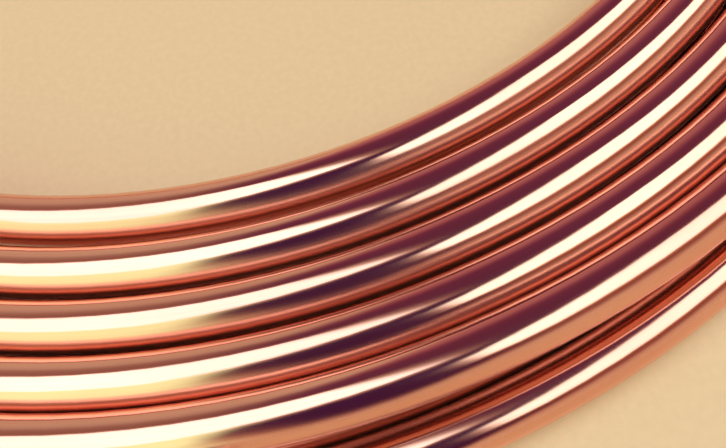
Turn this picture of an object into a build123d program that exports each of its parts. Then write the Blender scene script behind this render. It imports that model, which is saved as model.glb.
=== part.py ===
from build123d import *
import math
import os

# Copper tube coil: one length of soft copper tube wound flat in two layers.
# The tube starts outside on the lower layer and winds inwards, steps up at the
# inner edge and winds outwards again on the upper layer, so both ends are outside.
# All sizes are in millimetres, all angles in degrees, anticlockwise from above.

# Tube
TUBE_OD = 22.0
WALL = 1.0

# Winding
TURNS_PER_LAYER = 5
TURN_GAP = 1.0
LAYER_GAP = 1.0
UPPER_START_RADIUS = 326.0
LOWER_START_RADIUS = 331.0

# Step up from the lower layer to the upper one, at the inner edge
STEP_START_ANGLE = 180.0
STEP_ARC = 40.0
STEP_INSET = 4.0

# Free ends: an arc past the last full turn, sprung open, then a straight stretch
UPPER_END_ARC = 36.0
LOWER_END_ARC = 20.0
END_SPRING = 12.0
STRAIGHT_END = 80.0

# The bent tube has this many flats, TUBE_OD high, which keeps the faces of the
# many turns few. The straight free ends are round.
TURN_SIDES = 10

# Worked out from the sizes above
TUBE_R = TUBE_OD / 2
BORE_R = TUBE_R - WALL
PITCH = TUBE_OD + TURN_GAP
HALF_PITCH = PITCH / 2
CENTRE_HEIGHT = (TUBE_OD + LAYER_GAP) / 2
STEP_END_ANGLE = STEP_START_ANGLE + STEP_ARC
TURN_CORNER_R = TUBE_R / math.cos(math.pi / TURN_SIDES)


def turn_radii(start_radius):
    """Radii of the first half of every turn, about that half's own centre."""
    first = start_radius + HALF_PITCH / 2
    return [first + turn * PITCH for turn in range(TURNS_PER_LAYER)]


def turn_section():
    """The bent tube's section, with a flat on top."""
    return RegularPolygon(TURN_CORNER_R, TURN_SIDES, rotation=90 - 180 / TURN_SIDES)


def half_turns(radii, centre_x, start_angle):
    """One half of every turn in a layer, turned by 180 degrees.

    A core joins the turns below their widest points, so the grooves that show stay open.
    """
    middle = (radii[0] + radii[-1]) / 2
    section = Pos(middle, CENTRE_HEIGHT / 2) * Rectangle(radii[-1] - radii[0], CENTRE_HEIGHT)
    for radius in radii:
        section += Pos(radius, CENTRE_HEIGHT) * turn_section()
    return Pos(centre_x, 0, 0) * Rot(0, 0, start_angle) * revolve(Plane.XZ * section, Axis.Z, 180)


def free_end(start_radius, end_arc):
    """The tube past the last full turn: an arc, then a straight hollow stretch cut square.

    The arc is END_SPRING wider than a turn's, so it leaves the coil little by little.
    """
    radius = turn_radii(start_radius)[-1] + PITCH + END_SPRING
    arc = revolve(Plane.XZ * Pos(radius, CENTRE_HEIGHT) * turn_section(), Axis.Z, end_arc)
    cut_end = Plane(origin=(radius, STRAIGHT_END, CENTRE_HEIGHT), z_dir=(0, 1, 0))
    straight = extrude(cut_end * (Circle(TUBE_R) - Circle(BORE_R)), -STRAIGHT_END)
    return Pos(-HALF_PITCH / 2 - END_SPRING, 0, 0) * (arc + Rot(0, 0, end_arc) * straight)


def layer(start_radius, end_arc):
    """One layer above the plane z = 0, winding outwards anticlockwise from the +X side.

    Each turn is two half circles about centres half a pitch apart, so the turns meet
    in line and the radius grows by one pitch each time round.
    """
    radii = turn_radii(start_radius)
    first_halves = half_turns(radii, -HALF_PITCH / 2, 0)
    second_halves = half_turns([radius + HALF_PITCH for radius in radii], HALF_PITCH / 2, 180)
    return first_halves + second_halves + free_end(start_radius, end_arc)


def step_up():
    """The tube's climb from the lower layer's inner end to the upper layer's."""
    mean_radius = (LOWER_START_RADIUS + UPPER_START_RADIUS) / 2
    stations = [
        (LOWER_START_RADIUS, STEP_START_ANGLE, -CENTRE_HEIGHT),
        (mean_radius - STEP_INSET, STEP_START_ANGLE + STEP_ARC / 2, 0),
        (UPPER_START_RADIUS, STEP_END_ANGLE, CENTRE_HEIGHT),
    ]
    points = [Vector(radius, 0, height).rotate(Axis.Z, angle) for radius, angle, height in stations]
    directions = [Vector(0, 1, 0).rotate(Axis.Z, angle) for angle in (STEP_START_ANGLE, STEP_END_ANGLE)]
    path = Spline(*points, tangents=directions)
    upright_guide = Pos(0, 0, TUBE_OD) * path
    outwards = Vector(1, 0, 0).rotate(Axis.Z, STEP_START_ANGLE)
    start = Plane(origin=points[0], x_dir=outwards, z_dir=directions[0])
    return sweep(start * turn_section(), path, binormal=upright_guide)


def tube_coil():
    """The whole coil, resting on z = 0 with its box centred on the origin."""
    upper = Rot(0, 0, STEP_END_ANGLE) * layer(UPPER_START_RADIUS, UPPER_END_ARC)
    lower = Rot(0, 0, STEP_START_ANGLE) * Rot(180, 0, 0) * layer(LOWER_START_RADIUS, LOWER_END_ARC)
    coil = upper + lower + step_up()
    box = coil.bounding_box()
    return Pos(-box.center().X, -box.center().Y, -box.min.Z) * coil


os.makedirs("parts", exist_ok=True)
export_step(tube_coil(), "parts/tube_coil.step")
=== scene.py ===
"""Looks of a copper tube coil: its bright drawn surface, the bench it lies on, the studio and the camera.

The coil is one length of tube wound flat in two layers. Sizes are in millimetres and
angles in degrees, anticlockwise from above, until a mesh is made, which is in metres.
"""

import logging
import math
from dataclasses import dataclass
from enum import Enum

import bpy
import numpy as np
from mathutils import Matrix, Vector

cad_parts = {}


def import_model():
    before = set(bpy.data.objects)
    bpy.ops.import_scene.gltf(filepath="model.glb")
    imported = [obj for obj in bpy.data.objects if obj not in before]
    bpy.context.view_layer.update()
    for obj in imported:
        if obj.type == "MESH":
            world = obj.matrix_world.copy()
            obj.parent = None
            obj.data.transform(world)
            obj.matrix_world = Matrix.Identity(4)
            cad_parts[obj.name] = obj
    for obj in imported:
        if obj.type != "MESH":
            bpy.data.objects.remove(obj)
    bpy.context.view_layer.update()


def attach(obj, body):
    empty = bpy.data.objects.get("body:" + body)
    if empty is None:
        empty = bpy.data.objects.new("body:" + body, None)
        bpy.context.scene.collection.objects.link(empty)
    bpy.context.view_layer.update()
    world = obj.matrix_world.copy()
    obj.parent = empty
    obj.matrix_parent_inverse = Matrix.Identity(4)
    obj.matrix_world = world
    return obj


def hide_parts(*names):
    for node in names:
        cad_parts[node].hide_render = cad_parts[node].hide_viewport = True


LOG = logging.getLogger("tube_coil")
METRES = 0.001

Colour = tuple[float, float, float]
Stops = tuple[tuple[float, Colour], ...]


class Layer(Enum):
    """The two flat layers of the coil, by the way each one winds outwards seen from above."""

    UPPER = 1
    LOWER = -1


class Step(Enum):
    """How a value is carried from one end of a span to the other."""

    EVEN = "LINEAR"
    SOFT = "SMOOTHSTEP"


def smooth_steps(at: np.ndarray, knots: np.ndarray, values: np.ndarray) -> np.ndarray:
    """Carry a value from knot to knot with a level tangent at each one.

    Between two knots the share s of the way gives a weight of s squared times (3 - 2s).

    Args:
        at: Places to work the value out for.
        knots: Rising places where the value is known.
        values: The value at each knot.

    Returns:
        The value at each place.
    """
    step = np.clip(np.searchsorted(knots, at) - 1, 0, len(knots) - 2)
    share = np.clip((at - knots[step]) / (knots[step + 1] - knots[step]), 0, 1)
    weight = share**2 * (3 - 2 * share)
    return values[step] + (values[step + 1] - values[step]) * weight


def unit(vectors: np.ndarray) -> np.ndarray:
    """Scale each row to a length of one."""
    return vectors / np.linalg.norm(vectors, axis=-1, keepdims=True)


@dataclass(frozen=True)
class TubeStock:
    """The tube that the coil is wound from, as bought.

    Attributes:
        outside: Outside diameter.
        wall: Wall thickness.
        deburr: Width of the broken edge at a cut end.
    """

    outside: float = 22.0
    wall: float = 1.0
    deburr: float = 0.18

    @property
    def radius(self) -> float:
        """Outside radius."""
        return self.outside / 2

    @property
    def bore(self) -> float:
        """Bore radius."""
        return self.radius - self.wall


@dataclass(frozen=True)
class Winding:
    """The centre line of one layer, wound outwards in half circles.

    Half circle h has its centre half a half-pitch to either side of the coil's centre, by
    turns, and a radius of start + half_pitch * (h + 1/2), so the halves meet in line.

    Attributes:
        layer: Which layer it is.
        start_radius: Distance from the coil's centre where the layer starts.
        start_angle: Where the layer starts.
        end_arc: Arc of the free end, past the last full turn.
        easing: How far each quarter turn lies off the even spiral, outwards.
        sag: How far each quarter turn of the layer lies under its height.
        turns: Number of full turns.
        half_pitch: How much the radius grows with each half circle.
        spring: How much larger the radius of the free end's arc is than the spiral's.
        straight: Length of the straight stretch before the cut end.
        straight_steps: Number of steps along the straight stretch.
        height: Distance from the plane between the layers.
        spacing: Angle between points.
    """

    layer: Layer
    start_radius: float
    start_angle: float
    end_arc: float
    easing: tuple[float, ...]
    sag: tuple[float, ...]
    turns: int = 5
    half_pitch: float = 11.5
    spring: float = 12.0
    straight: float = 80.0
    straight_steps: int = 6
    height: float = 11.5
    spacing: float = 2.1

    def line(self) -> np.ndarray:
        """Work out points along the layer, from its inner start to its cut end.

        Returns:
            Points about the coil's centre and the plane between the layers, as rows.
        """
        full = 360.0 * self.turns
        whole = full + self.end_arc
        turned = np.linspace(0, whole, round(whole / self.spacing) + 1)
        half = np.minimum(turned // 180, 2 * self.turns)
        sprung = self.spring * (turned > full)
        centre = np.where(half % 2 == 0, -1, 1) * self.half_pitch / 2 - sprung
        radius = self.start_radius + self.half_pitch * (half + 0.5) + sprung
        radius = radius + self._quarters(turned, self.easing)
        angle = np.radians(turned)
        x = centre + radius * np.cos(angle)
        y = radius * np.sin(angle)
        z = self.height - self._quarters(turned, self.sag)
        return self._placed(np.stack([x, y, z], axis=-1))

    def _quarters(self, turned: np.ndarray, values: tuple[float, ...]) -> np.ndarray:
        """Carry one value for each quarter turn smoothly along the layer.

        Args:
            turned: Angle turned since the layer's start, at each point.
            values: The value at the start of each quarter turn, and 0 beyond the last.

        Returns:
            The value at each point.
        """
        known = np.zeros(4 * self.turns + 2)
        known[: len(values)] = values
        return smooth_steps(turned, 90.0 * np.arange(len(known)), known)

    def _placed(self, points: np.ndarray) -> np.ndarray:
        """Add the straight stretch of the free end, and turn or flip the layer into place.

        Args:
            points: The wound part of the layer, winding anticlockwise from the +X side.

        Returns:
            The whole layer where it lies.
        """
        heading = math.radians(self.end_arc)
        onwards = np.array([-math.sin(heading), math.cos(heading), 0.0])
        steps = np.linspace(0, self.straight, self.straight_steps + 1)[1:, None]
        points = np.vstack([points, points[-1] + steps * onwards])
        points = points * [1, self.layer.value, self.layer.value]
        turn = math.radians(self.start_angle)
        cosine, sine = math.cos(turn), math.sin(turn)
        return points @ np.array([[cosine, sine, 0], [-sine, cosine, 0], [0, 0, 1]])


@dataclass
class CopperTube:
    """The whole coil as one hollow tube with square-cut ends.

    The outer skin and the bore are circles carried along the centre line, joined by a
    flat ring with broken edges at each end.

    Attributes:
        stock: The tube itself.
        centre: The coil's centre and the plane between its layers, in the row frame.
        sides: Flats round the outer skin, on the mesh.
        bore_sides: Flats round the bore, on the mesh.
        climb_inset: How far the climb between the layers is bent inwards at its middle.
        climb_points: Points along the climb, with its two ends.
        upper: The upper layer.
        lower: The lower layer.
    """

    stock: TubeStock = TubeStock()
    centre: tuple[float, float, float] = (5.75, 10.3103, 22.5)
    sides: int = 32
    bore_sides: int = 14
    climb_inset: float = 4.0
    climb_points: int = 20
    upper: Winding = Winding(
        Layer.UPPER,
        start_radius=326.0,
        start_angle=220.0,
        end_arc=36.0,
        easing=(
            -1.9, -0.9, -0.5, -0.8, 0.0, 0.2, 0.3, 0.2, 0.8, 0.85,
            0.5, 0.6, 1.0, 1.05, 0.6, 0.5, 0.05, 0.05, -0.2, -0.1,
        ),
        sag=(
            0.9, 0.9, 0.6, 0.8, 0.9, 0.9, 0.7, 0.6, 0.9, 0.9,
            0.8, 0.7, 0.9, 0.9, 0.7, 0.6, -0.6, -0.7, -0.2, 0.2,
        ),
    )
    lower: Winding = Winding(
        Layer.LOWER,
        start_radius=331.0,
        start_angle=180.0,
        end_arc=20.0,
        easing=(
            0.0, -0.3, -0.4, -2.2, -0.8, -0.2, -0.1, 0.4, -0.2, 0.3,
            -0.1, 1.0, 0.3, -0.2, 1.0, 2.5, 0.3, 0.0, 0.8, 2.0,
        ),
        sag=(0.0,),
    )

    def step_up(self) -> np.ndarray:
        """Work out the climb between the layers' inner ends, from the upper one to the lower.

        The angle changes evenly, and the radius and the height ease from one end's to the
        other's. The radius is also drawn in by one bell, 16 s squared times (1 - s)
        squared, where s is the share of the way.

        Returns:
            Points about the coil's centre, without the two ends that the layers have.
        """
        first, last = math.radians(self.upper.start_angle), math.radians(self.lower.start_angle)
        share = np.linspace(0, 1, self.climb_points)[1:-1]
        ease = share**2 * (3 - 2 * share)
        angle = first + (last - first) * share
        bell = 16 * share**2 * (1 - share) ** 2
        inner, outer = (layer.start_radius + layer.easing[0] for layer in (self.upper, self.lower))
        radius = inner + (outer - inner) * ease - self.climb_inset * bell
        top = self.upper.height - self.upper.sag[0]
        z = top + (-self.lower.height - top) * ease
        return np.stack([radius * np.cos(angle), radius * np.sin(angle), z], axis=-1)

    def centre_line(self) -> np.ndarray:
        """Join the layers into one line, from the upper cut end to the lower one.

        Returns:
            Points in the row frame, in millimetres, as rows.
        """
        return np.vstack([self.upper.line()[::-1], self.step_up(), self.lower.line()]) + self.centre

    def rings(self, line: np.ndarray, radius: np.ndarray, sides: int) -> tuple[np.ndarray, np.ndarray]:
        """Set a circle square across each point of a line, kept upright.

        A ring's point at angle a lies at radius * (cos a * inwards + sin a * upwards),
        where inwards is level, square to the line and on the side of the coil's centre,
        and upwards is square to both.

        Args:
            line: Points of the centre line.
            radius: Radius of the circle at each point.
            sides: Points round each circle.

        Returns:
            The rings' points, and for each the distance along the tube and its place round it.
        """
        tangent = unit(np.gradient(line, axis=0))
        inwards = unit(np.cross(tangent, [0.0, 0.0, 1.0]))
        upwards = np.cross(inwards, tangent)
        angle = 2 * math.pi * np.arange(sides) / sides
        cosine, sine = np.cos(angle)[None, :, None], np.sin(angle)[None, :, None]
        round_it = inwards[:, None] * cosine + upwards[:, None] * sine
        along = np.concatenate([[0], np.cumsum(np.linalg.norm(np.diff(line, axis=0), axis=1))])
        place = np.empty((len(line), sides, 3))
        place[..., 0] = along[:, None]
        place[..., 1] = self.stock.radius * np.cos(angle)
        place[..., 2] = self.stock.radius * np.sin(angle)
        return line[:, None] + radius[:, None, None] * round_it, place

    def skin(self) -> tuple[np.ndarray, np.ndarray, list[tuple[int, ...]]]:
        """Work out the closed surface of the tube.

        Returns:
            Its points in metres, their places along and round the tube in metres, and its faces.
        """
        line = self.centre_line()
        broken = self.stock.deburr
        after_first = line[:1] + broken * unit(line[1] - line[0])
        before_last = line[-1:] - broken * unit(line[-1] - line[-2])
        whole = np.vstack([line[:1], after_first, line[1:-1], before_last, line[-1:]])
        outer_radius = np.full(len(whole), self.stock.radius)
        outer_radius[[0, -1]] -= broken
        bore_radius = np.full(len(whole), self.stock.bore)
        bore_radius[[0, -1]] += broken
        outer, outer_place = self.rings(whole, outer_radius, self.sides)
        bore, bore_place = self.rings(whole, bore_radius, self.bore_sides)
        points = np.vstack([outer.reshape(-1, 3), bore.reshape(-1, 3)])
        places = np.vstack([outer_place.reshape(-1, 3), bore_place.reshape(-1, 3)])
        first_bore = len(whole) * self.sides
        last_bore = len(points) - self.bore_sides
        last_outer = first_bore - self.sides
        faces = tube_faces(len(whole), self.sides, 0, True).tolist()
        faces += tube_faces(len(whole), self.bore_sides, first_bore, False).tolist()
        faces += ring_faces(0, self.sides, first_bore, self.bore_sides, False)
        faces += ring_faces(last_outer, self.sides, last_bore, self.bore_sides, True)
        return points * METRES, places * METRES, faces

    def rounded(self, faces: int) -> np.ndarray:
        """Pick the faces that are shaded round: all but the cut ends and their broken edges.

        Args:
            faces: Number of faces of the whole tube.

        Returns:
            True for each face that is shaded round.
        """
        rows = len(self.centre_line()) + 1
        round_row = np.ones(rows, bool)
        round_row[[0, -1]] = False
        skins = np.concatenate([np.repeat(round_row, self.sides), np.repeat(round_row, self.bore_sides)])
        smooth = np.zeros(faces, bool)
        smooth[: len(skins)] = skins
        return smooth

    def build(self) -> bpy.types.Object:
        """Make the coil's mesh, with its places along and round the tube as an attribute.

        Returns:
            The coil, riding on the part's one body.
        """
        points, places, faces = self.skin()
        mesh = bpy.data.meshes.new("copper_coil")
        mesh.from_pydata(points, [], faces)
        mesh.polygons.foreach_set("use_smooth", self.rounded(len(faces)))
        drawn = mesh.attributes.new("drawn", "FLOAT_VECTOR", "POINT")
        drawn.data.foreach_set("vector", places.astype(np.float32).ravel())
        coil = bpy.data.objects.new("copper_coil", mesh)
        bpy.context.scene.collection.objects.link(coil)
        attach(coil, "root")
        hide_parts("tube_coil")
        LOG.info("copper_coil: %d points, %d faces", len(points), len(faces))
        return coil


def tube_faces(rings: int, sides: int, start: int, outwards: bool) -> np.ndarray:
    """List the four-sided faces between rings that follow each other.

    Args:
        rings: Number of rings.
        sides: Points in each ring.
        start: Number of the first ring's first point.
        outwards: True where the faces look away from the line, False where they look at it.

    Returns:
        Four point numbers for each face.
    """
    ring = start + sides * np.arange(rings - 1)[:, None]
    side = np.arange(sides)
    after = (side + 1) % sides
    corners = [ring + after, ring + side, ring + sides + side, ring + sides + after]
    faces = np.stack(corners, axis=-1).reshape(-1, 4)
    return faces if outwards else faces[:, ::-1]


def ring_faces(outer: int, sides: int, bore: int, bore_sides: int, outwards: bool) -> list[tuple[int, ...]]:
    """List the faces of the flat ring between an outer circle and a bore with fewer points.

    Each side of the bore takes the outer points that lie in front of it.

    Args:
        outer: Number of the outer circle's first point.
        sides: Points in the outer circle.
        bore: Number of the bore's first point.
        bore_sides: Points in the bore's circle.
        outwards: True where the ring looks along the tube, False where it looks back.

    Returns:
        Point numbers for each face.
    """
    cuts = [round(side * sides / bore_sides) for side in range(bore_sides + 1)]
    faces = []
    for side, (low, high) in enumerate(zip(cuts[:-1], cuts[1:])):
        rim = [outer + point % sides for point in range(high, low - 1, -1)]
        inner = [bore + side, bore + (side + 1) % bore_sides]
        face = rim + inner
        faces.append(tuple(face) if outwards else tuple(face[::-1]))
    return faces


class Nodes:
    """A short way to wire up the nodes of a material or of the world.

    Attributes:
        MIX_COLOURS: The inputs of a Mix node that take its two colours.
        MIX_RESULT: The output of a Mix node that gives its colour.
        NEW_STOP: Where a new stop of a ramp stands until it is put in its place.
    """

    MIX_COLOURS = slice(6, 8)
    MIX_RESULT = 2
    NEW_STOP = 0.5

    def __init__(self, tree: bpy.types.NodeTree) -> None:
        """Empty the tree, ready for new nodes."""
        self.tree = tree
        tree.nodes.clear()

    def add(self, kind: str, **inputs: object) -> bpy.types.Node:
        """Add a node.

        Args:
            kind: The node's type.
            inputs: What each named input gets: another node's output, or a value. Names
                of inputs have _ for a space, and a name that starts with set_ is a setting.

        Returns:
            The node.
        """
        node = self.tree.nodes.new(kind)
        for name, value in inputs.items():
            if name.startswith("set_"):
                setattr(node, name.removeprefix("set_"), value)
        for name, value in inputs.items():
            if not name.startswith("set_"):
                self._feed(self._socket(node, name), value)
        return node

    def _feed(self, socket: bpy.types.NodeSocket, value: object) -> None:
        """Give a node's input what it gets.

        Args:
            socket: The input.
            value: Another node's output, or a value.
        """
        if isinstance(value, bpy.types.NodeSocket):
            self.tree.links.new(value, socket)
        else:
            socket.default_value = value

    def _socket(self, node: bpy.types.Node, name: str) -> bpy.types.NodeSocket:
        """Find a node's open input.

        Args:
            node: The node.
            name: The input's name, or in0, in1 and so on for its number.

        Returns:
            The input.
        """
        if name.startswith("in") and name[2:].isdigit():
            return node.inputs[int(name[2:])]
        wanted = name.replace("_", " ").lower()
        return next(i for i in node.inputs if i.name.lower() == wanted and i.enabled)

    def maths(self, operation: str, *values: bpy.types.NodeSocket | float) -> bpy.types.NodeSocket:
        """Work out a value from others.

        Args:
            operation: What is done with them.
            values: Other nodes' outputs, or numbers.

        Returns:
            The result.
        """
        inputs = {f"in{number}": value for number, value in enumerate(values)}
        return self.add("ShaderNodeMath", set_operation=operation, **inputs).outputs[0]

    def span(
        self,
        value: bpy.types.NodeSocket,
        start: float,
        end: float,
        first: bpy.types.NodeSocket | float = 0.0,
        last: bpy.types.NodeSocket | float = 1.0,
        step: Step = Step.EVEN,
    ) -> bpy.types.NodeSocket:
        """Carry a value over to another span, and hold it at the span's two ends.

        Args:
            value: What is carried over.
            start: Value that gives the first result.
            end: Value that gives the last result.
            first: The first result.
            last: The last result.
            step: How the results between them follow.

        Returns:
            The result.
        """
        ends = {"from_min": start, "from_max": end, "to_min": first, "to_max": last}
        node = self.add("ShaderNodeMapRange", set_interpolation_type=step.value, value=value, **ends)
        return node.outputs[0]

    def ramp(self, factor: bpy.types.NodeSocket, stops: Stops) -> bpy.types.NodeSocket:
        """Add a colour ramp.

        Args:
            factor: What the ramp reads.
            stops: Each stop's place from 0 to 1, and its colour.

        Returns:
            The ramp's colour.
        """
        node = self.add("ShaderNodeValToRGB", fac=factor)
        elements = node.color_ramp.elements
        while len(elements) < len(stops):
            elements.new(self.NEW_STOP)
        for element, (place, colour) in zip(elements, stops):
            element.position = place
            element.color = (*colour, 1.0)
        return node.outputs["Color"]

    def blend(
        self,
        share: bpy.types.NodeSocket,
        first: bpy.types.NodeSocket | Colour,
        second: bpy.types.NodeSocket | Colour,
    ) -> bpy.types.NodeSocket:
        """Mix two colours.

        Args:
            share: How much of the second colour there is.
            first: A colour, or another node's output.
            second: A colour, or another node's output.

        Returns:
            The mixed colour.
        """
        mix = self.add("ShaderNodeMix", set_data_type="RGBA", factor=share)
        for socket, colour in zip(mix.inputs[self.MIX_COLOURS], (first, second)):
            self._feed(socket, (*colour, 1.0) if isinstance(colour, tuple) else colour)
        return mix.outputs[self.MIX_RESULT]


@dataclass(frozen=True)
class Grain:
    """A cloudy pattern with its own scale along and across the tube.

    Attributes:
        along: Clouds to the metre along the tube.
        across: Clouds to the metre across it.
        detail: How many finer sizes are laid over it.
        carried: How much each finer size counts, as a share of the one before.
    """

    along: float
    across: float
    detail: float
    carried: float = 0.5

    def pattern(self, nodes: Nodes, drawn: bpy.types.NodeSocket) -> bpy.types.NodeSocket:
        """Make the pattern.

        Args:
            nodes: The material's nodes.
            drawn: Place along and round the tube, in metres.

        Returns:
            The pattern, from 0 to 1.
        """
        scale = (self.along, self.across, self.across)
        place = nodes.add("ShaderNodeMapping", vector=drawn, scale=scale).outputs[0]
        sizes = {"scale": 1.0, "detail": self.detail, "roughness": self.carried}
        return nodes.add("ShaderNodeTexNoise", vector=place, **sizes).outputs[0]


@dataclass(frozen=True)
class Relief:
    """How far a pattern stands off the surface.

    Attributes:
        strength: How much of it is seen, from 0 to 1.
        depth: Its height, in metres.
    """

    strength: float
    depth: float

    def normal(
        self, nodes: Nodes, height: bpy.types.NodeSocket, **under: bpy.types.NodeSocket
    ) -> bpy.types.NodeSocket:
        """Make the surface's direction where the pattern stands off it.

        Args:
            nodes: The material's nodes.
            height: The pattern.
            under: The direction that it is laid over, as normal, where there is one.

        Returns:
            The new direction.
        """
        sizes = {"strength": self.strength, "distance": self.depth}
        return nodes.add("ShaderNodeBump", height=height, **sizes, **under).outputs[0]


@dataclass(frozen=True)
class BrightCopper:
    """Soft copper tube straight from the mill: bright, drawn, handled a little.

    Attributes:
        fresh: Colour of the clean metal.
        tarnish: Colour where it has begun to darken.
        tarnished: Where in the patches and streaks it begins to darken and is darkest.
        roughness: Roughness of the clean metal.
        smudged: Roughness where hands and the drawing die left it duller.
        worn: Where in the patches and lines it begins to dull and is dullest.
        dulled: Roughness of a flank that faces the next turn, which no hand wipes bright.
        outer_flank: Where the outer flank begins and is at its dullest, from the tube's
            middle outwards as shares of its radius.
        inner_flank: The same for the inner flank, from the tube's middle inwards.
        covered: How far along the tube, in metres, the lower layer begins, of which both
            flanks are dull.
        patches: Patches where it was handled.
        streaks: Long streaks of tarnish.
        streak_share: How much the streaks count beside the patches.
        lines: Fine lines that the drawing die left.
        line_share: How much the lines count beside the patches.
        waves: The slight unevenness of a soft tube.
        wave_relief: How far the waves stand off the surface.
        line_relief: How far the lines stand off it.
    """

    fresh: Colour = (0.89, 0.475, 0.375)
    tarnish: Colour = (0.80, 0.37, 0.29)
    tarnished: tuple[float, float] = (0.45, 0.95)
    roughness: float = 0.075
    smudged: float = 0.14
    worn: tuple[float, float] = (0.5, 1.0)
    dulled: float = 0.30
    outer_flank: tuple[float, float] = (0.45, 0.85)
    inner_flank: tuple[float, float] = (0.27, 0.68)
    covered: float = 12.6
    patches: Grain = Grain(along=9.0, across=38.0, detail=3.0)
    streaks: Grain = Grain(along=5.0, across=900.0, detail=3.0)
    streak_share: float = 0.35
    lines: Grain = Grain(along=14.0, across=3200.0, detail=2.0)
    line_share: float = 0.5
    waves: Grain = Grain(along=16.0, across=60.0, detail=1.0)
    wave_relief: Relief = Relief(strength=0.35, depth=0.0006)
    line_relief: Relief = Relief(strength=0.25, depth=0.00002)

    def material(self, stock: TubeStock) -> bpy.types.Material:
        """Make the finish, from patterns stretched along the tube.

        Args:
            stock: The tube that it is on.

        Returns:
            The material.
        """
        material = bpy.data.materials.new("bright_drawn_copper")
        material.use_nodes = True
        nodes = Nodes(material.node_tree)
        drawn = nodes.add("ShaderNodeAttribute", set_attribute_name="drawn").outputs["Vector"]
        patches = self.patches.pattern(nodes, drawn)
        streaks = self.streaks.pattern(nodes, drawn)
        lines = self.lines.pattern(nodes, drawn)
        waves = self.waves.pattern(nodes, drawn)
        aged = nodes.maths("MULTIPLY_ADD", streaks, self.streak_share, patches)
        colour = nodes.blend(nodes.span(aged, *self.tarnished), self.fresh, self.tarnish)
        handled = nodes.maths("MULTIPLY_ADD", lines, self.line_share, patches)
        open_rough = nodes.span(handled, *self.worn, self.roughness, self.smudged)
        rough = nodes.span(self._flank(nodes, drawn, stock), 0.0, 1.0, open_rough, self.dulled)
        soft = self.wave_relief.normal(nodes, waves)
        fine = self.line_relief.normal(nodes, lines, normal=soft)
        surface = {"base_color": colour, "metallic": 1.0, "roughness": rough, "normal": fine}
        shader = nodes.add("ShaderNodeBsdfPrincipled", **surface)
        nodes.add("ShaderNodeOutputMaterial", surface=shader.outputs[0])
        return material

    def _flank(
        self, nodes: Nodes, drawn: bpy.types.NodeSocket, stock: TubeStock
    ) -> bpy.types.NodeSocket:
        """Find the flanks that face the next turn, which on the upper layer are the outer ones only.

        Args:
            nodes: The material's nodes.
            drawn: Place along and round the tube, in metres.
            stock: The tube that the finish is on.

        Returns:
            1 on such a flank and 0 away from it.
        """
        split = nodes.add("ShaderNodeSeparateXYZ", vector=drawn).outputs
        outer_span = [-share * stock.radius * METRES for share in self.outer_flank]
        inner_span = [share * stock.radius * METRES for share in self.inner_flank]
        outer = nodes.span(split["Y"], *outer_span, step=Step.SOFT)
        inner = nodes.span(split["Y"], *inner_span, step=Step.SOFT)
        lower = nodes.maths("GREATER_THAN", split["X"], self.covered)
        return nodes.maths("MULTIPLY_ADD", inner, lower, outer)


@dataclass(frozen=True)
class BenchPaint:
    """The plain pale bench top that the coil lies on.

    Attributes:
        colour: Its colour.
        roughness: Its roughness.
        mottle: Its slight mottle, in clouds to the metre.
        detail: How many finer sizes are laid over the mottle.
        deepest: Colour of the mottle's dark spots, as a share of the bench's own.
        spotted: Where in the mottle the dark spots end and the bench's own colour begins.
    """

    colour: Colour = (0.885, 0.56, 0.345)
    roughness: float = 0.55
    mottle: float = 260.0
    detail: float = 3.0
    deepest: float = 0.95
    spotted: tuple[float, float] = (0.3, 0.7)

    def material(self) -> bpy.types.Material:
        """Make the finish, with a slight mottle.

        Returns:
            The material.
        """
        material = bpy.data.materials.new("pale_bench")
        material.use_nodes = True
        nodes = Nodes(material.node_tree)
        place = nodes.add("ShaderNodeTexCoord").outputs["Object"]
        sizes = {"scale": self.mottle, "detail": self.detail}
        mottle = nodes.add("ShaderNodeTexNoise", vector=place, **sizes).outputs[0]
        deep = tuple(self.deepest * part for part in self.colour)
        colour = nodes.ramp(mottle, tuple(zip(self.spotted, (deep, self.colour))))
        shader = nodes.add("ShaderNodeBsdfPrincipled", base_color=colour, roughness=self.roughness)
        nodes.add("ShaderNodeOutputMaterial", surface=shader.outputs[0])
        return material


@dataclass(frozen=True)
class Outline:
    """A patch of the room with straight soft edges, drawn on a level ceiling one unit above the coil.

    The room is so far off that a place on the ceiling stands for one direction.

    Attributes:
        edges: For each edge the direction that it faces and its distance from the point overhead.
        softness: Half the width over which the patch fades out at an edge.
    """

    edges: tuple[tuple[float, float], ...]
    softness: float

    def share(self, nodes: Nodes, ceiling: bpy.types.NodeSocket) -> bpy.types.NodeSocket:
        """Work out how far a direction lies inside the patch.

        It is the product of one soft step for each edge. An edge that faces f at a distance
        d lets through the places p where p . f is less than d.

        Args:
            nodes: The world's nodes.
            ceiling: Where the direction meets the ceiling.

        Returns:
            The share, from 0 to 1.
        """
        share = None
        for faces, distance in self.edges:
            facing = (math.cos(math.radians(faces)), math.sin(math.radians(faces)), 0.0)
            reach = nodes.add("ShaderNodeVectorMath", set_operation="DOT_PRODUCT", in0=ceiling, in1=facing)
            fade = (distance + self.softness, distance - self.softness)
            inside = nodes.span(reach.outputs["Value"], *fade, step=Step.SOFT)
            share = inside if share is None else nodes.maths("MULTIPLY", share, inside)
        return share


@dataclass(frozen=True)
class DimWall:
    """A dim side of the room, coloured by height.

    Attributes:
        outline: Where it is.
        stops: Its colours, each with the sine of its elevation.
    """

    outline: Outline
    stops: Stops


@dataclass(frozen=True)
class SoftWindow:
    """A large soft light high over the bench.

    Attributes:
        outline: Where it is.
        low: Height at which it begins, as the sine of its elevation.
        light: Its colour times its brightness, where 1 renders as white.
        fade: How much higher than that it has come up to its full light.
    """

    outline: Outline
    low: float
    light: Colour
    fade: float = 0.12


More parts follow.
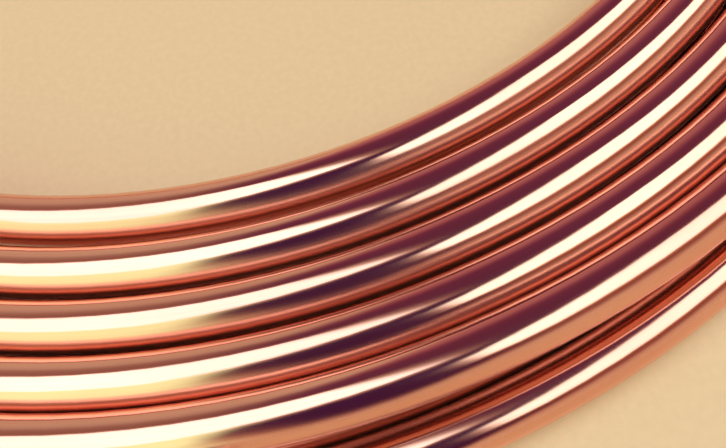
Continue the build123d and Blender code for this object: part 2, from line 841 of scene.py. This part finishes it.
@dataclass(frozen=True)
class Room:
    """The light round the coil: dim walls that are paler level with the bench, and soft windows.

    Attributes:
        front: Colours of the side towards the camera, each with the sine of its elevation.
        walls: The right side, the left front corner, the back and the left back corner, each
            laid over the ones before.
        windows: The left window's warm edge, the low light under it, the left window, the
            right window's warm edge and the right window, each laid over the ones before.
        horizon: Sine of the elevation that lower directions are given, to meet the ceiling.
    """

    front: Stops = (
        (0.0, (0.748, 0.558, 0.378)),
        (0.10, (0.607, 0.416, 0.333)),
        (0.20, (0.394, 0.208, 0.218)),
        (0.34, (0.131, 0.0383, 0.0745)),
        (0.50, (0.0627, 0.0142, 0.0688)),
        (1.0, (0.0627, 0.0175, 0.086)),
    )
    walls: tuple[DimWall, ...] = (
        DimWall(
            Outline(((180.0, -0.75),), softness=0.35),
            stops=(
                (0.0, (0.789, 0.657, 0.401)),
                (0.15, (0.769, 0.624, 0.39)),
                (0.30, (0.688, 0.504, 0.355)),
                (0.40, (0.455, 0.252, 0.183)),
                (0.50, (0.313, 0.12, 0.086)),
                (0.65, (0.283, 0.0985, 0.0745)),
                (0.85, (0.091, 0.0241, 0.0803)),
            ),
        ),
        DimWall(
            Outline(((0.0, -0.42), (90.0, -0.6)), softness=0.30),
            stops=(
                (0.0, (0.748, 0.547, 0.355)),
                (0.25, (0.728, 0.46, 0.275)),
                (0.45, (0.506, 0.241, 0.183)),
                (0.8, (0.303, 0.109, 0.103)),
            ),
        ),
        DimWall(
            Outline(((-90.0, 0.0),), softness=0.25),
            stops=(
                (0.0, (0.506, 0.263, 0.252)),
                (0.35, (0.415, 0.186, 0.206)),
                (0.5, (0.273, 0.0931, 0.138)),
                (0.65, (0.162, 0.046, 0.103)),
                (1.0, (0.121, 0.035, 0.0917)),
            ),
        ),
        DimWall(
            Outline(((-90.0, -0.1), (0.0, -0.27)), softness=0.13),
            stops=(
                (0.0, (0.66, 0.50, 0.36)),
                (0.32, (0.64, 0.53, 0.38)),
                (0.5, (0.58, 0.48, 0.37)),
                (0.64, (0.40, 0.27, 0.21)),
                (0.78, (0.30, 0.16, 0.13)),
            ),
        ),
    )
    windows: tuple[SoftWindow, ...] = (
        SoftWindow(
            Outline(((24.0, 0.13), (-48.7, 0.17), (95.0, 0.56), (172.0, 1.1)), softness=0.10),
            low=0.10,
            light=(0.60, 0.41, 0.26),
        ),
        SoftWindow(
            Outline(((-18.4, -0.15), (95.0, 0.3)), softness=0.09),
            low=0.02,
            light=(1.25, 1.85, 1.05),
        ),
        SoftWindow(
            Outline(
                ((24.0, 0.08), (-48.7, 0.11), (95.0, 0.52), (-95.0, 0.66), (172.0, 1.0)),
                softness=0.05,
            ),
            low=0.17,
            light=(1.95, 2.4, 2.4),
        ),
        SoftWindow(
            Outline(
                ((163.5, -0.36), (119.1, 0.06), (-46.0, 1.22), (-78.5, 1.17), (201.0, -0.04)),
                softness=0.10,
            ),
            low=0.10,
            light=(0.92, 0.62, 0.34),
        ),
        SoftWindow(
            Outline(
                ((163.5, -0.34), (119.1, 0.08), (-46.0, 1.05), (-78.5, 1.0), (201.0, -0.06)),
                softness=0.04,
            ),
            low=0.17,
            light=(1.95, 2.4, 2.25),
        ),
    )
    horizon: float = 0.02

    def build(self) -> None:
        """Make the world."""
        world = bpy.data.worlds.new("studio_room")
        bpy.context.scene.world = world
        world.use_nodes = True
        nodes = Nodes(world.node_tree)
        way = nodes.add("ShaderNodeTexCoord").outputs["Generated"]
        upwards = nodes.add("ShaderNodeSeparateXYZ", vector=way).outputs["Z"]
        height = nodes.maths("MAXIMUM", upwards, self.horizon)
        ceiling = nodes.add("ShaderNodeVectorMath", set_operation="DIVIDE", in0=way, in1=height).outputs[0]
        light = nodes.ramp(upwards, self.front)
        for wall in self.walls:
            share = wall.outline.share(nodes, ceiling)
            light = nodes.blend(share, light, nodes.ramp(upwards, wall.stops))
        for window in self.windows:
            seen = nodes.span(upwards, window.low, window.low + window.fade, step=Step.SOFT)
            share = nodes.maths("MULTIPLY", seen, window.outline.share(nodes, ceiling))
            light = nodes.blend(share, light, window.light)
        background = nodes.add("ShaderNodeBackground", color=light, strength=1.0)
        nodes.add("ShaderNodeOutputWorld", surface=background.outputs[0])
        LOG.info("studio_room: %d walls, %d soft windows", len(self.walls) + 1, len(self.windows))


@dataclass
class Studio:
    """The plain bench top and the room round it.

    Attributes:
        bench_side: Side of the square bench top, in metres.
        bench: Finish of the bench top.
        room: The room.
    """

    bench_side: float = 40.0
    bench: BenchPaint = BenchPaint()
    room: Room = Room()

    def build(self) -> None:
        """Lay the bench top at the height the coil rests on, and make the room."""
        half = self.bench_side / 2
        corners = [(-half, -half, 0), (half, -half, 0), (half, half, 0), (-half, half, 0)]
        mesh = bpy.data.meshes.new("bench_top")
        mesh.from_pydata(corners, [], [(0, 1, 2, 3)])
        mesh.materials.append(self.bench.material())
        top = bpy.data.objects.new("bench_top", mesh)
        bpy.context.scene.collection.objects.link(top)
        LOG.info("bench_top: %.0f m square", self.bench_side)
        self.room.build()
        bpy.context.scene.view_settings.view_transform = "Standard"


@dataclass(frozen=True)
class PhotoCamera:
    """The camera, where the photograph was taken from.

    Attributes:
        place: Where it stands, in millimetres.
        down: How far it looks down.
        roll: How far it is rolled.
        focal: Focal length in pixels of a picture that is width wide.
        width: Width of that picture in pixels.
        sensor: Width of the sensor, in millimetres.
        nearest: Distance from which things show, in metres.
    """

    place: tuple[float, float, float] = (55.14, -470.3, 278.4)
    down: float = 62.13
    roll: float = -12.98
    focal: float = 675.9
    width: float = 726.0
    sensor: float = 36.0
    nearest: float = 0.005

    def build(self) -> None:
        """Stand the camera up and make it the scene's own."""
        down, roll = math.radians(self.down), math.radians(self.roll)
        ahead = Vector((0, math.cos(down), -math.sin(down)))
        level = Vector((1, 0, 0))
        upright = level.cross(ahead)
        right = level * math.cos(roll) + upright * math.sin(roll)
        up = upright * math.cos(roll) - level * math.sin(roll)
        lens = bpy.data.cameras.new("photo_camera")
        lens.sensor_width = self.sensor
        lens.lens = self.sensor * self.focal / self.width
        lens.clip_start = self.nearest
        camera = bpy.data.objects.new("photo_camera", lens)
        turned = Matrix((right, up, -ahead)).transposed().to_4x4()
        camera.matrix_world = Matrix.Translation(Vector(self.place) * METRES) @ turned
        bpy.context.scene.collection.objects.link(camera)
        bpy.context.scene.camera = camera
        LOG.info("photo_camera: %.1f mm lens", lens.lens)


def main() -> None:
    """Build the coil, dress it, and set up the studio and the camera."""
    logging.basicConfig(level=logging.INFO, format="%(name)s: %(message)s")
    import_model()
    tube = CopperTube()
    coil = tube.build()
    coil.data.materials.append(BrightCopper().material(tube.stock))
    Studio().build()
    PhotoCamera().build()


if __name__ == "__main__":
    main()
